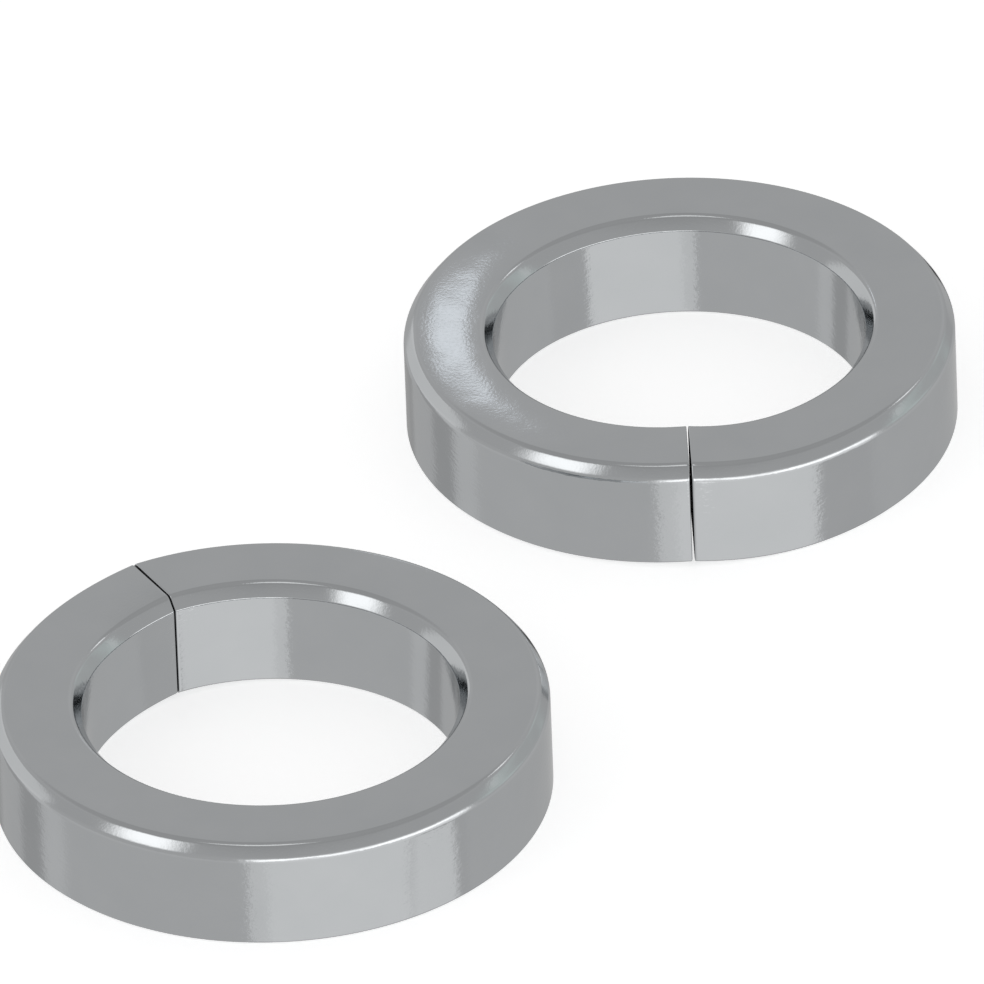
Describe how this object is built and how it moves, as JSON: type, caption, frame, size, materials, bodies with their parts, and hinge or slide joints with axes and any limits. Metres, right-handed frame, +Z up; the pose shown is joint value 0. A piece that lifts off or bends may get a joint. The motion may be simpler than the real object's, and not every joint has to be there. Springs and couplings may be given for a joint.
{
  "type": "pair of spring washers",
  "caption": "Split spring washers with a rectangular section, chamfered upper edges and sprung ends, to lock a bolt or nut.",
  "frame": {"origin": "on the surface that the washers lie on, midway between their axes", "axes": "+Z up, along both washers' axes and towards their chamfered sides; the picture looks along +Y"},
  "size_m": [0.0476, 0.0584, 0.0058],
  "materials": {
    "zinc_steel": "satin zinc plate with a fine grain"
  },
  "bodies": {
    "root": {"front_washer": "zinc_steel", "rear_washer": "zinc_steel"}
  },
  "joints": []
}
